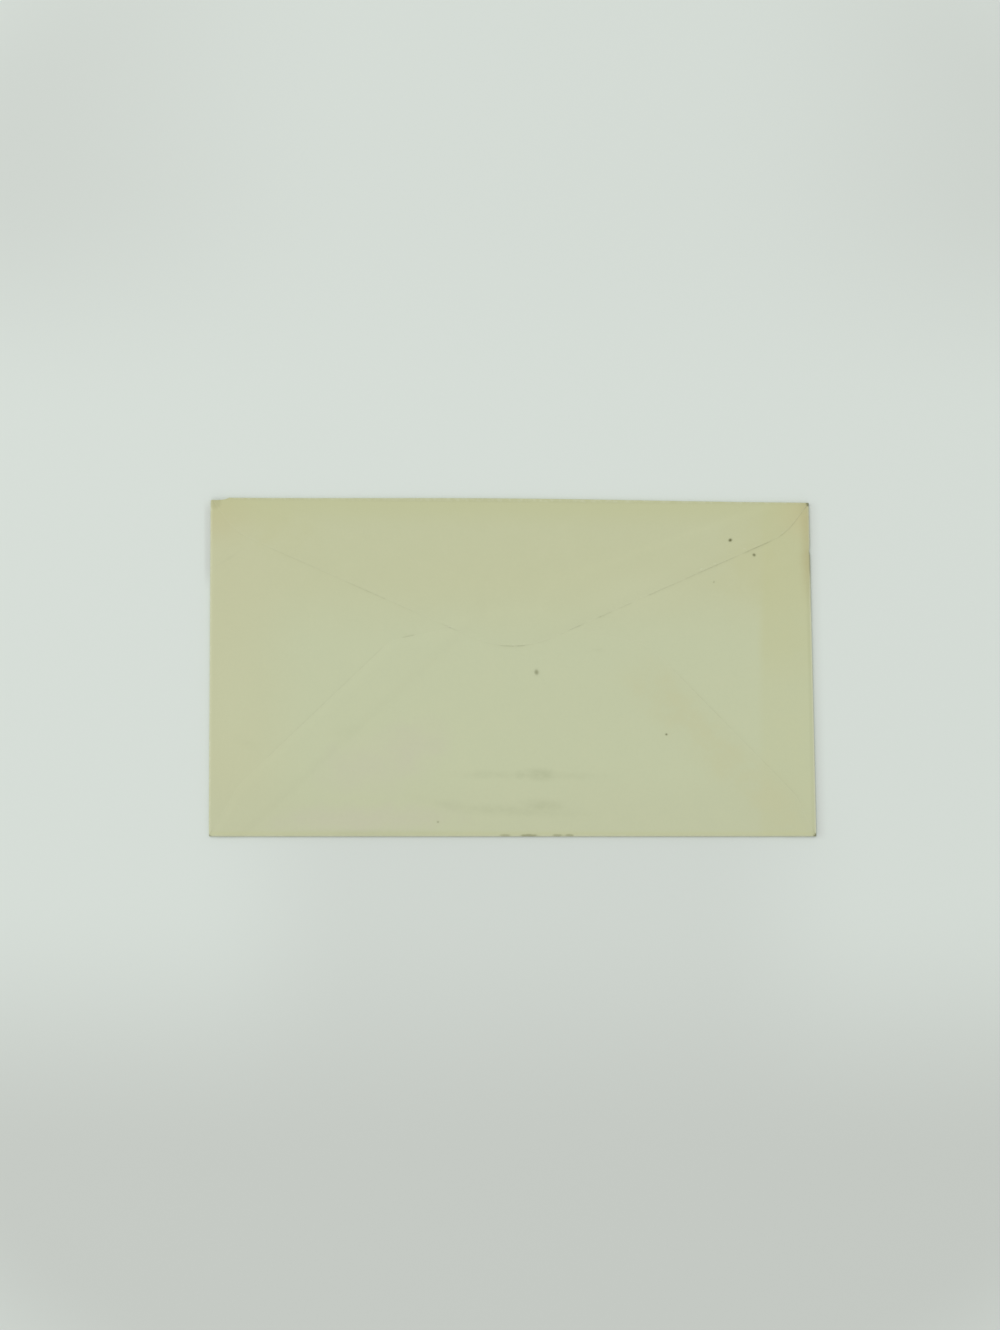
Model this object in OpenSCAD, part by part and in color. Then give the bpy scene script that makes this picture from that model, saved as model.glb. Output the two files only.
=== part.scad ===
// Paper envelope, No. 6 3/4 size, folded from one sheet with diagonal seams, sealed.
//
// It lies on its plain front. The side flaps are folded in first, the bottom flap is glued
// over them, and the pointed seal flap closes over all three. The left, right and top folds
// were made a little out of square. Lengths are in millimetres. X runs along the long side,
// Y towards the fold of the seal flap and Z up from the table. The origin is under the middle
// of the front.

/* [Envelope] */
// Length of the envelope
envelope_length = 165.1; // [140:0.1:240]
// Height of the envelope, from the bottom fold to the fold of the seal flap
envelope_height = 92.1; // [84:0.1:110]
// Distance by which the left fold leans inwards at its upper end
left_fold_lean = 0.5; // [0:0.1:4]
// Distance by which the right fold leans inwards at its upper end
right_fold_lean = 2.1; // [0:0.1:4]
// Distance by which the top fold drops at its right end
top_fold_drop = 1.4; // [0:0.1:3]

/* [Paper and build-up] */
// Thickness of the paper
paper_t = 0.12; // [0.08:0.01:0.25]
// Space left between the front and the side flaps
pocket_gap = 0.60; // [0.1:0.01:1.5]
// Thickness of the dried gum between two layers
gum_t = 0.03; // [0.02:0.01:0.1]
// Distance at each corner from the end of one fold to the line on which the next one begins
corner_gap = 0.20; // [0.1:0.05:1]
// Length of the flat paper on each side of a fold that is made together with its curve
fold_leg = 0.50; // [0.2:0.05:1]
// Distance by which a flap is narrower than its fold at each end
fold_step = 0.10; // [0.05:0.05:0.4]

/* [Seal flap] */
// Depth of the flap from its fold to the point where its two edges would meet
seal_depth = 42.8; // [38:0.1:48]
// Radius that blunts the tip
seal_tip_radius = 27; // [5:1:60]
// Distance from each upper corner of the envelope sideways to the shoulder of the flap
seal_shoulder_in = 6.6; // [3:0.1:12]
// Distance from the upper left corner down to the left shoulder
left_shoulder_drop = 9.3; // [5:0.1:14]
// Distance from the upper right corner down to the right shoulder
right_shoulder_drop = 8.7; // [5:0.1:14]
// Radius of the shoulders
seal_shoulder_radius = 16; // [2:1:20]
// Distance by which the seal flap covers the top of the bottom flap
tip_overlap = 8.1; // [4:0.1:10]
// Length of the slope on which the flap climbs over the bottom flap
climb_length = 4; // [2:0.5:6]
// Distance from the top of the bottom flap to the foot of that slope
climb_clearance = 1.2; // [0.5:0.1:3]

/* [Bottom flap] */
// Angle of the diagonal seams to the long side
seam_angle = 44.6; // [40:0.2:50]
// Distance from each lower corner of the envelope sideways to the lower shoulder of the flap
foot_shoulder_in = 6.7; // [3:0.1:12]
// Height of the lower shoulder above the bottom fold
foot_shoulder_rise = 12.4; // [8:0.1:16]
// Radius of the lower shoulder
foot_shoulder_radius = 10; // [2:1:20]
// Angle at which the two top edges fall away from the middle
crown_angle = 13; // [6:1:16]
// Radius of the blunt top
crown_radius = 30; // [5:1:60]
// Radius of the upper shoulders
seam_top_radius = 6; // [1:0.5:10]
// Angle by which the flap was glued down askew, to the left when positive
bottom_turn = -1.0; // [-2:0.1:2]
// Distance by which it was glued down to the right of the middle
bottom_shift = 1.0; // [-1.5:0.1:1.5]

/* [Side flaps] */
// Distance between the ends of the two side flaps
side_flap_spacing = 19; // [12:0.5:30]
// Distance by which the seal flap covers the upper edge of a side flap at its end
side_overlap = 13.4; // [8:0.1:15]
// Height of the end of a side flap
side_end_height = 5.5; // [4:0.1:9]
// Radius of the corners at the end of a side flap
side_end_radius = 2; // [0.5:0.1:2.5]
// Distance from each corner of the envelope sideways to the shoulder of its side flap
side_shoulder_in = 7.5; // [3:0.1:9]
// Distance from each corner up or down to that shoulder
side_shoulder_back = 1.2; // [1:0.1:4]
// Radius of these shoulders
side_shoulder_radius = 3; // [1:0.5:6]

/* [Gum strips] */
// Width of the gum along a diagonal seam
seam_gum_w = 6.5; // [3:0.5:8]
// Width of the gum along an edge of the seal flap
seal_gum_w = 9; // [4:0.5:11]
// Width of the gum under the tip of the seal flap
tip_gum_w = 12; // [6:0.5:14]
// Distance from the edge of a flap to its gum
gum_margin = 1.5; // [0.5:0.1:3]

/* [Wear] */
// Length of the worn bite at the left end of the seal flap's fold
worn_length = 4.5; // [1:0.1:6]
// Depth of that bite
worn_depth = 0.7; // [0.2:0.1:1.5]
// Length over which that bite runs out into the whole fold
worn_runout = 0.9; // [0.2:0.1:0.9]

/* [Hidden] */
paper_colour = "#c1c7a5";
// Degrees that one straight piece of a rounded corner turns, at most
arc_angle = 6;
// Share of the shorter side beside a corner that its arc may take up, at most
corner_share = 0.48;
// Facets of the circles that the folds are cut from
fold_facets = 48;
// Distance by which a cutting shape reaches past what it cuts
cut_reach = 1;
half_length = envelope_length / 2;
half_height = envelope_height / 2;

// Underside of each layer, from the front upwards
side_level = paper_t + pocket_gap;
gum_level = side_level + paper_t;
bottom_level = gum_level + gum_t;
over_level = bottom_level + paper_t + gum_t;

// Outer radius of each fold, half of the height that it wraps
side_fold_r = gum_level / 2;
long_fold_r = (bottom_level + paper_t) / 2;

// Distance from each side of the envelope to the edge of the flat front
side_panel_in = side_fold_r + fold_leg / 2;
long_panel_in = long_fold_r + fold_leg / 2;

// Outer corners of the envelope, from the lower left against the clock
corner_bl = [-half_length, -half_height];
corner_br = [half_length, -half_height];
corner_tr = [half_length - right_fold_lean, half_height - top_fold_drop];
corner_tl = [-half_length + left_fold_lean, half_height];

// Corners between the lines on which the folds begin
front_bl = inner_corner(corner_tl, corner_bl, corner_br, side_fold_r, long_fold_r);
front_br = inner_corner(corner_bl, corner_br, corner_tr, long_fold_r, side_fold_r);
front_tr = inner_corner(corner_br, corner_tr, corner_tl, side_fold_r, long_fold_r);
front_tl = inner_corner(corner_tr, corner_tl, corner_bl, long_fold_r, side_fold_r);

// Seal flap
seal_point = [0, half_height - seal_depth];
seal_shoulder_l = corner_tl + [seal_shoulder_in, -left_shoulder_drop];
seal_shoulder_r = corner_tr - [seal_shoulder_in, right_shoulder_drop];
seal_edge_l = unit(seal_shoulder_l - seal_point);
seal_edge_r = unit(seal_shoulder_r - seal_point);
seal_tip_y = seal_point.y + seal_tip_radius * (1 / sin(acos(seal_edge_l * seal_edge_r) / 2) - 1);

// Bottom flap, drawn straight and in the middle of its fold
crown_top = seal_tip_y + tip_overlap;
crown_point = [0, crown_top + crown_radius * (1 / cos(crown_angle) - 1)];
foot_shoulder = [half_length - foot_shoulder_in, foot_shoulder_rise - half_height];
seam_rise_at_middle = foot_shoulder.y + foot_shoulder.x * tan(seam_angle);
seam_top_x = (seam_rise_at_middle - crown_point.y) / (tan(seam_angle) - tan(crown_angle));
seam_top = [seam_top_x, crown_point.y - seam_top_x * tan(crown_angle)];

// Ends of the side flaps
side_end_x = side_flap_spacing / 2;
side_end_top = seal_point.y + side_end_x * seal_edge_r.y / seal_edge_r.x + side_overlap;
side_end_bottom = side_end_top - side_end_height;

// Foot and head of the slope on the seal flap
climb_head = crown_top + climb_clearance;
climb_foot = climb_head + climb_length;

// Distance from a corner of the front to where a flap begins on its side
flap_start = corner_gap + fold_step;

// A vector of length 1 in the direction of v
function unit(v) = v / norm(v);

// The vector v turned a quarter turn to the left
function left_of(v) = [-v.y, v.x];

// The point v mirrored to the other half
function across(v) = [-v.x, v.y];

// The point v of the straight bottom flap where it lies on the flap as it was glued down,
// turned about the middle of its fold and shifted
function laid(v) =
    let (from_pivot = v + [0, half_height])
    [
        from_pivot.x * cos(bottom_turn) - from_pivot.y * sin(bottom_turn) + bottom_shift,
        from_pivot.x * sin(bottom_turn) + from_pivot.y * cos(bottom_turn) - half_height
    ];

// The point that lies in_ab inside the line from a to b and in_bc inside the line from b to c,
// where a, b and c follow each other against the clock
function inner_corner(a, b, c, in_ab, in_bc) =
    let (
        n = left_of(unit(b - a)),
        m = left_of(unit(c - b))
    )
    b + [in_ab * m.y - in_bc * n.y, in_bc * n.x - in_ab * m.x] / cross(n, m);

// The point where the flap on the side from a to b begins near a, halfway across the leg
function begin_near(a, b) =
    let (u = unit(b - a))
    a + flap_start * u + fold_leg / 2 * left_of(u);

// The point where that flap ends near b, halfway across the leg
function end_near(a, b) =
    let (u = unit(b - a))
    b - flap_start * u + fold_leg / 2 * left_of(u);

// Points of the arc of radius r that rounds corner b between its neighbours a and c.
// The radius gives way where the sides beside the corner are too short for it.
function rounded_corner(a, b, c, r) =
    let (
        to_a = unit(a - b),
        to_c = unit(c - b),
        half_angle = acos(to_a * to_c) / 2,
        shorter = min(norm(a - b), norm(c - b)),
        reach = min(r / tan(half_angle), corner_share * shorter),
        radius = reach * tan(half_angle),
        centre = b + unit(to_a + to_c) * radius / sin(half_angle),
        first = b + to_a * reach - centre,
        start = atan2(first.y, first.x),
        sweep = sign(cross(b - a, c - b)) * (180 - 2 * half_angle),
        steps = max(2, ceil(abs(sweep) / arc_angle))
    )
    [
        for (i = [0:steps])
            let (angle = start + sweep * i / steps)
            centre + radius * [cos(angle), sin(angle)]
    ];

// An outline whose corners are given as [point, radius], a radius of 0 being left sharp
function rounded(corners) =
    let (n = len(corners))
    [
        for (i = [0:n - 1])
            let (
                before = corners[(i + n - 1) % n][0],
                here = corners[i],
                after = corners[(i + 1) % n][0]
            )
            each here[1] > 0 ? rounded_corner(before, here[0], after, here[1]) : [here[0]]
    ];

// Outline of the seal flap, from the left end of its fold
seal_outline = rounded([
    [end_near(front_tr, front_tl), 0],
    [seal_shoulder_l, seal_shoulder_radius],
    [seal_point, seal_tip_radius],
    [seal_shoulder_r, seal_shoulder_radius],
    [begin_near(front_tr, front_tl), 0]
]);

// Outline of the bottom flap, from the right end of its fold
bottom_outline = rounded([
    [end_near(front_bl, front_br), 0],
    [laid(foot_shoulder), foot_shoulder_radius],
    [laid(seam_top), seam_top_radius],
    [laid(crown_point), crown_radius],
    [laid(across(seam_top)), seam_top_radius],
    [laid(across(foot_shoulder)), foot_shoulder_radius],
    [begin_near(front_bl, front_br), 0]
]);

// Outline of the right side flap, from the upper end of its fold
right_outline = rounded([
    [end_near(front_br, front_tr), 0],
    [corner_tr - [side_shoulder_in, side_shoulder_back], side_shoulder_radius],
    [[side_end_x, side_end_top], side_end_radius],
    [[side_end_x, side_end_bottom], side_end_radius],
    [corner_br + [-side_shoulder_in, side_shoulder_back], side_shoulder_radius],
    [begin_near(front_br, front_tr), 0]
]);

// Outline of the left side flap, from the lower end of its fold
left_outline = rounded([
    [end_near(front_tl, front_bl), 0],
    [corner_bl + [side_shoulder_in, side_shoulder_back], side_shoulder_radius],
    [[-side_end_x, side_end_bottom], side_end_radius],
    [[-side_end_x, side_end_top], side_end_radius],
    [corner_tl + [side_shoulder_in, -side_shoulder_back], side_shoulder_radius],
    [begin_near(front_tl, front_bl), 0]
]);

// A sheet with the given outline, its underside at the given level
module sheet(outline, level, thickness)
    translate([0, 0, level])
        linear_extrude(thickness) polygon(outline);

// Section of a fold, half of a ring as thick as the paper on the -X side
module fold_curve(radius)
    difference() {
        circle(radius, $fn = fold_facets);
        circle(radius - paper_t, $fn = fold_facets);
        translate([0, -2 * radius]) square(4 * radius);
    }

// A fold along the edge of the front that runs from a to b, against the clock, with a short
// flat leg below and above its curve
module fold(a, b, radius) {
    along = b - a;
    length = norm(along) - 2 * corner_gap;
    translate([a.x, a.y, 0])
        rotate([0, 0, atan2(along.y, along.x)])
            translate([corner_gap, 0, 0]) {
                translate([0, 0, radius])
                    rotate([90, 0, 90])
                        linear_extrude(length) fold_curve(radius);
                for (level = [0, 2 * radius - paper_t])
                    translate([0, 0, level]) cube([length, fold_leg, paper_t]);
            }
}

// The plain front, which the envelope lies on. It ends halfway across the legs of its folds.
module front_panel()
    sheet([
        inner_corner(corner_tl, corner_bl, corner_br, side_panel_in, long_panel_in),
        inner_corner(corner_bl, corner_br, corner_tr, long_panel_in, side_panel_in),
        inner_corner(corner_br, corner_tr, corner_tl, side_panel_in, long_panel_in),
        inner_corner(corner_tr, corner_tl, corner_bl, long_panel_in, side_panel_in)
    ], 0, paper_t);

// The right side flap with its fold
module right_side_flap() {
    fold(front_br, front_tr, side_fold_r);
    sheet(right_outline, side_level, paper_t);
}

// The left side flap with its fold
module left_side_flap() {
    fold(front_tl, front_bl, side_fold_r);
    sheet(left_outline, side_level, paper_t);
}

// The bottom flap with its fold
module bottom_flap() {
    fold(front_bl, front_br, long_fold_r);
    sheet(bottom_outline, bottom_level, paper_t);
}

// Section of the seal flap across the long side, as [y, z]: level on the bottom flap,
// then down the slope and level again on the side flaps
module seal_section() {
    lower = [
        [seal_point.y, over_level],
        [climb_head, over_level],
        [climb_foot, bottom_level],
        [half_height, bottom_level]
    ];
    upper = [for (i = [len(lower) - 1:-1:0]) lower[i] + [0, paper_t]];
    polygon(concat(lower, upper));
}

// The seal flap with its fold
module seal_flap() {
    fold(front_tr, front_tl, long_fold_r);
    intersection() {
        translate([-half_length, 0, 0])
            rotate([90, 0, 90])
                linear_extrude(envelope_length) seal_section();
        sheet(seal_outline, 0, over_level + cut_reach);
    }
}

// Gum beside an edge that runs from one point to another, on the left of that way
module gum_strip(from, to, width) {
    inward = left_of(unit(to - from));
    near = gum_margin * inward;
    far = (gum_margin + width) * inward;
    polygon([from + near, to + near, to + far, from + far]);
}

// Gum between a side flap and the flap over it, where the strip lies on both
module gum_between(side_outline, over_outline)
    intersection() {
        sheet(side_outline, gum_level, gum_t);
        sheet(over_outline, gum_level, gum_t);
        translate([0, 0, gum_level]) linear_extrude(gum_t) children();
    }

// Gum along the two diagonal seams
module seam_gum() {
    gum_between(right_outline, bottom_outline)
        gum_strip(laid(foot_shoulder), laid(seam_top), seam_gum_w);
    gum_between(left_outline, bottom_outline)
        gum_strip(laid(across(seam_top)), laid(across(foot_shoulder)), seam_gum_w);
}

// Gum along the edges of the seal flap, as far as it lies level on the side flaps
module seal_gum() {
    rise = climb_foot - seal_point.y;
    gum_between(right_outline, seal_outline)
        gum_strip(seal_point + rise / seal_edge_r.y * seal_edge_r, seal_shoulder_r, seal_gum_w);
    gum_between(left_outline, seal_outline)
        gum_strip(seal_shoulder_l, seal_point + rise / seal_edge_l.y * seal_edge_l, seal_gum_w);
}

// Gum under the tip of the seal flap, on top of the bottom flap
module tip_gum()
    translate([-tip_gum_w / 2, seal_tip_y + gum_margin, bottom_level + paper_t])
        cube([tip_gum_w, tip_overlap - 2 * gum_margin, gum_t]);

// The worn bite that is missing from the left end of the top fold
module worn_bite()
    translate([corner_tl.x, corner_tl.y, -cut_reach])
        linear_extrude(over_level + 2 * cut_reach)
            polygon([
                [-cut_reach, -worn_depth],
                [worn_length - worn_runout, -worn_depth],
                [worn_length, 0],
                [worn_length, cut_reach],
                [-cut_reach, cut_reach]
            ]);

// The whole envelope, one folded and glued sheet
module envelope()
    color(paper_colour)
        difference() {
            union() {
                front_panel();
                right_side_flap();
                left_side_flap();
                bottom_flap();
                seal_flap();
                seam_gum();
                seal_gum();
                tip_gum();
            }
            worn_bite();
        }

envelope();
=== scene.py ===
"""Looks of a sealed paper envelope that lies on its plain front, flap side up.

The envelope is one sheet. A flat blank with its four flaps is built first and then folded by a
node tree, so that every layer, fold and free edge is there as in the real one.
"""

import logging
import math
from dataclasses import dataclass, field
from enum import Enum
from typing import Any, ClassVar, Sequence

import bpy
import numpy as np
from bpy.types import Material, Mesh, Node, NodeSocket, NodeTree, Object
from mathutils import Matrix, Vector


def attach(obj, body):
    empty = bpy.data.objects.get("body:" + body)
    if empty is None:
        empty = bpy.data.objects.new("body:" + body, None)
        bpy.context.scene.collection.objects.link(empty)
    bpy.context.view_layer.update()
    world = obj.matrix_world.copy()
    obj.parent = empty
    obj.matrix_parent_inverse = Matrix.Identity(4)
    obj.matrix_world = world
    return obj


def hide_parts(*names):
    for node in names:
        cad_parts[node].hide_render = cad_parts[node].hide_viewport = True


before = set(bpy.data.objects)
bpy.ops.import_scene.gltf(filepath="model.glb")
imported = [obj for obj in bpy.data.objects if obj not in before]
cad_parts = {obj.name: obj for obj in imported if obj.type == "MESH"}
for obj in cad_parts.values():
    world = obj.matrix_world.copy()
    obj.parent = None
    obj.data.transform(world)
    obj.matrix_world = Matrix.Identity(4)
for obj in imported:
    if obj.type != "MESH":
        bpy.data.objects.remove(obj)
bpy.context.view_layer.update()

LOG = logging.getLogger("envelope")
Triple = tuple[float, float, float]

# One millimetre in metres.
MM = 0.001
# Share of its height that a free edge is pressed down by, and the width of that slope in mm.
EDGE_PRESS = 0.82
PRESSED_WIDTH = 2.2
# Largest share of a side that the rounding of one of its corners may take.
MOST_OF_SIDE = 0.48
# A square of a length that counts as none, in square mm.
TINY = 1e-12
# Faces that meet at a larger angle than this, in degrees, keep a sharp edge between them.
SHARP_ANGLE = 50


def unit(v: np.ndarray) -> np.ndarray:
    """Returns v scaled to a length of 1."""
    return v / np.linalg.norm(v)


def left_of(v: np.ndarray) -> np.ndarray:
    """Returns v turned a quarter turn to the left."""
    return np.array([-v[1], v[0]])


def inner_corner(
    a: np.ndarray, b: np.ndarray, c: np.ndarray, in_ab: float, in_bc: float
) -> np.ndarray:
    """Finds the point inside a corner at given distances from its two sides.

    Args:
        a: Corner before b, against the clock.
        b: The corner itself.
        c: Corner after b.
        in_ab: Distance inside the side from a to b.
        in_bc: Distance inside the side from b to c.

    Returns:
        The point at both distances.
    """
    n, m = left_of(unit(b - a)), left_of(unit(c - b))
    det = n[0] * m[1] - n[1] * m[0]
    return b + np.array([in_ab * m[1] - in_bc * n[1], in_bc * n[0] - in_ab * m[0]]) / det


def rounded(corners: Sequence[tuple[Sequence[float], float]], step_deg: float = 5.0) -> np.ndarray:
    """Rounds the corners of a closed outline.

    Args:
        corners: Pairs of a point and its radius; a radius of 0 leaves the corner sharp.
        step_deg: Turn of one straight piece of an arc, at most.

    Returns:
        The outline's points in order.
    """
    out: list[np.ndarray] = []
    count = len(corners)
    for i, (point, radius) in enumerate(corners):
        b = np.asarray(point, float)
        a = np.asarray(corners[i - 1][0], float)
        c = np.asarray(corners[(i + 1) % count][0], float)
        if radius <= 0:
            out.append(b)
            continue
        to_a, to_c = unit(a - b), unit(c - b)
        half = math.acos(float(np.clip(to_a @ to_c, -1, 1))) / 2
        shorter = min(np.linalg.norm(a - b), np.linalg.norm(c - b))
        reach = min(radius / math.tan(half), MOST_OF_SIDE * shorter)
        r = reach * math.tan(half)
        centre = b + unit(to_a + to_c) * r / math.sin(half)
        first = b + to_a * reach - centre
        start = math.atan2(first[1], first[0])
        turn = (b - a)[0] * (c - b)[1] - (b - a)[1] * (c - b)[0]
        sweep = math.copysign(math.pi - 2 * half, turn)
        steps = max(2, math.ceil(abs(sweep) / math.radians(step_deg)))
        for k in range(steps + 1):
            angle = start + sweep * k / steps
            out.append(centre + r * np.array([math.cos(angle), math.sin(angle)]))
    return np.array(out)


def distance_to_line(points: np.ndarray, line: np.ndarray) -> np.ndarray:
    """Measures how far points are from an open line of straight pieces.

    Args:
        points: Points as rows of x and y.
        line: The line's points as rows.

    Returns:
        One distance for each point.
    """
    best = np.full(len(points), np.inf)
    for a, b in zip(line[:-1], line[1:]):
        ab = b - a
        t = np.clip(((points - a) @ ab) / max(ab @ ab, TINY), 0, 1)
        best = np.minimum(best, np.linalg.norm(points - (a + t[:, None] * ab), axis=1))
    return best


def inside(points: np.ndarray, outline: np.ndarray) -> np.ndarray:
    """Tells which points lie inside a closed outline.

    Args:
        points: Points as rows of x and y.
        outline: The outline's corners as rows.

    Returns:
        A boolean for each point.
    """
    x, y = points[:, 0], points[:, 1]
    result = np.zeros(len(points), bool)
    for (x0, y0), (x1, y1) in zip(outline, np.roll(outline, -1, axis=0)):
        if y0 == y1:
            continue
        crosses = (y0 > y) != (y1 > y)
        result ^= crosses & (x < (x1 - x0) * (y - y0) / (y1 - y0) + x0)
    return result


def depth_inside(points: np.ndarray, outline: np.ndarray) -> np.ndarray:
    """Measures how deep points lie inside a closed outline.

    Args:
        points: Points as rows of x and y.
        outline: The outline's corners as rows.

    Returns:
        Distances from the outline, negative outside it.
    """
    away = distance_to_line(points, np.vstack([outline, outline[:1]]))
    return np.where(inside(points, outline), away, -away)


class Side(Enum):
    """The four sides of the front, each with a fold and a flap."""

    BOTTOM = 0
    RIGHT = 1
    TOP = 2
    LEFT = 3


@dataclass(frozen=True)
class EnvelopeSizes:
    """Sizes of the folded envelope in millimetres, its angles in degrees.

    Those up to worn_runout agree with the part's source. The fine wear and the bow of the top
    fold, which come after them, are only here.
    """

    length: float = 165.1
    height: float = 92.1
    left_lean: float = 0.5
    right_lean: float = 2.1
    top_drop: float = 1.4
    paper: float = 0.12
    pocket: float = 0.60
    gum: float = 0.03
    seal_depth: float = 42.8
    seal_tip_radius: float = 27.0
    left_shoulder: tuple[float, float] = (6.6, 9.3)
    right_shoulder: tuple[float, float] = (6.6, 8.7)
    seal_shoulder_radius: float = 16.0
    tip_overlap: float = 8.1
    seam_angle: float = 44.6
    foot_shoulder: tuple[float, float] = (6.7, 12.4)
    foot_shoulder_radius: float = 10.0
    crown_angle: float = 13.0
    crown_radius: float = 30.0
    seam_top_radius: float = 6.0
    bottom_turn: float = -1.0
    bottom_shift: float = 1.0
    side_end_x: float = 9.5
    side_overlap: float = 13.4
    side_end_height: float = 5.5
    side_end_radius: float = 2.0
    side_shoulder: tuple[float, float] = (7.5, 1.2)
    side_shoulder_radius: float = 3.0
    worn_length: float = 4.5
    worn_depth: float = 0.7
    worn_runout: float = 0.9
    fray: float = 0.05
    frays_per_mm: float = 5.0
    knock_y: float = 31.9
    knock_half_width: float = 0.55
    knock_depth: float = 0.35
    knock_reach: float = 1.5
    top_bow: float = 0.45
    top_bow_half_width: float = 75.0

    @property
    def side_level(self) -> float:
        """Height of the underside of the side flaps."""
        return self.paper + self.pocket

    @property
    def bottom_level(self) -> float:
        """Height of the underside of the bottom flap."""
        return self.side_level + self.paper + self.gum

    @property
    def top(self) -> float:
        """Height of the highest face, at the tip of the seal flap."""
        return self.bottom_level + 2 * self.paper + self.gum

    @property
    def side_bend(self) -> float:
        """Radius of the side folds at the middle of the paper."""
        return self.side_level / 2

    @property
    def long_bend(self) -> float:
        """Radius of the top and bottom folds at the middle of the paper."""
        return self.bottom_level / 2


class EnvelopeOutlines:
    """Corner points and flap outlines of the folded envelope, seen from above."""

    def __init__(self, sizes: EnvelopeSizes) -> None:
        """Works out all outlines.

        Args:
            sizes: Sizes of the envelope.
        """
        s = self.sizes = sizes
        hl, hh = s.length / 2, s.height / 2
        side_r, long_r = s.side_bend + s.paper / 2, s.long_bend + s.paper / 2
        self.outer = [
            np.array([-hl, -hh]),
            np.array([hl, -hh]),
            np.array([hl - s.right_lean, hh - s.top_drop]),
            np.array([s.left_lean - hl, hh]),
        ]
        bl, br, tr, tl = self.outer
        self.front = [
            inner_corner(tl, bl, br, side_r, long_r),
            inner_corner(bl, br, tr, long_r, side_r),
            inner_corner(br, tr, tl, side_r, long_r),
            inner_corner(tr, tl, bl, long_r, side_r),
        ]
        fbl, fbr, ftr, ftl = self.front

        point = np.array([0.0, hh - s.seal_depth])
        left_shoulder = tl + np.array(s.left_shoulder) * (1, -1)
        right_shoulder = tr - np.array(s.right_shoulder)
        e_l, e_r = unit(left_shoulder - point), unit(right_shoulder - point)
        tip_y = point[1] + s.seal_tip_radius * (1 / math.sin(math.acos(e_l @ e_r) / 2) - 1)
        self.seal = rounded([
            (ftl, 0),
            (left_shoulder, s.seal_shoulder_radius),
            (point, s.seal_tip_radius),
            (right_shoulder, s.seal_shoulder_radius),
            (ftr, 0),
        ])

        slope, fall = math.tan(math.radians(s.seam_angle)), math.tan(math.radians(s.crown_angle))
        crown_y = tip_y + s.tip_overlap
        crown_y += s.crown_radius * (1 / math.cos(math.radians(s.crown_angle)) - 1)
        foot = np.array([hl - s.foot_shoulder[0], s.foot_shoulder[1] - hh])
        top_x = (foot[1] + foot[0] * slope - crown_y) / (slope - fall)
        seam_top = np.array([top_x, crown_y - top_x * fall])
        mirror = np.array([-1, 1])
        self.bottom = rounded([
            (fbr, 0),
            (self._laid(foot), s.foot_shoulder_radius),
            (self._laid(seam_top), s.seam_top_radius),
            (self._laid(np.array([0, crown_y])), s.crown_radius),
            (self._laid(seam_top * mirror), s.seam_top_radius),
            (self._laid(foot * mirror), s.foot_shoulder_radius),
            (fbl, 0),
        ])

        end_top = point[1] + s.side_end_x * e_r[1] / e_r[0] + s.side_overlap
        end_low = end_top - s.side_end_height
        along, back = s.side_shoulder
        radii = (0, s.side_shoulder_radius, s.side_end_radius)
        radii += radii[::-1]
        right_end, left_end = (
            [(x, end_top), (x, end_low)] for x in (s.side_end_x, -s.side_end_x)
        )
        right = [ftr, tr + (-along, -back), *right_end, br + (-along, back), fbr]
        left = [fbl, bl + (along, back), *left_end[::-1], tl + (along, -back), ftl]
        self.right, self.left = (rounded(list(zip(side, radii))) for side in (right, left))

    def _laid(self, v: np.ndarray) -> np.ndarray:
        """Places a point of the straight bottom flap where the flap was glued down.

        Args:
            v: The point, on a flap that is square to the envelope.

        Returns:
            The point on the flap as it was glued.
        """
        s = self.sizes
        a = math.radians(s.bottom_turn)
        x, y = v[0], v[1] + s.height / 2
        return np.array([
            x * math.cos(a) - y * math.sin(a) + s.bottom_shift,
            x * math.sin(a) + y * math.cos(a) - s.height / 2,
        ])

    def flap(self, side: Side) -> np.ndarray:
        """Returns the outline of the flap on the given side."""
        flaps = (self.bottom, self.right, self.seal, self.left)
        return flaps[side.value]


@dataclass(frozen=True)
class EdgeLift:
    """A place where a flap's free edge stands up or, below 0, lies flat.

    The node tree scales its height.
    """

    x: float
    y: float
    height: float
    spread: float


@dataclass(frozen=True)
class SeamStretch:
    """A stretch of a flap's edge beside which dust and shade have gathered."""

    x0: float
    y0: float
    x1: float
    y1: float
    strength: float


SEAL_LIFTS = tuple(EdgeLift(*row) for row in (
    (66.58, 32.79, 0.24, 4.0), (53.11, 26.7, 0.14, 6.0), (39.63, 20.71, 0.12, 3.0),
    (24.76, 13.92, 0.10, 2.0), (75.47, 38.87, 0.14, 2.6), (0.4, 5.83, 0.08, 3.0),
    (-29.34, 16.22, 0.05, 2.6), (-39.22, 20.51, 0.14, 5.0), (-57.19, 28.79, 0.07, 8.0),
    (18.0, 11.1, -0.22, 3.0), (-17.4, 10.8, -0.18, 3.0),
))

BOTTOM_LIFTS = tuple(EdgeLift(*row) for row in (
    (-28.14, 8.53, 0.08, 1.6), (53.11, -10.54, 0.06, 5.0), (-49.71, -8.84, 0.05, 7.0),
    (74.07, -33.99, 0.10, 3.0),
))

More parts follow.
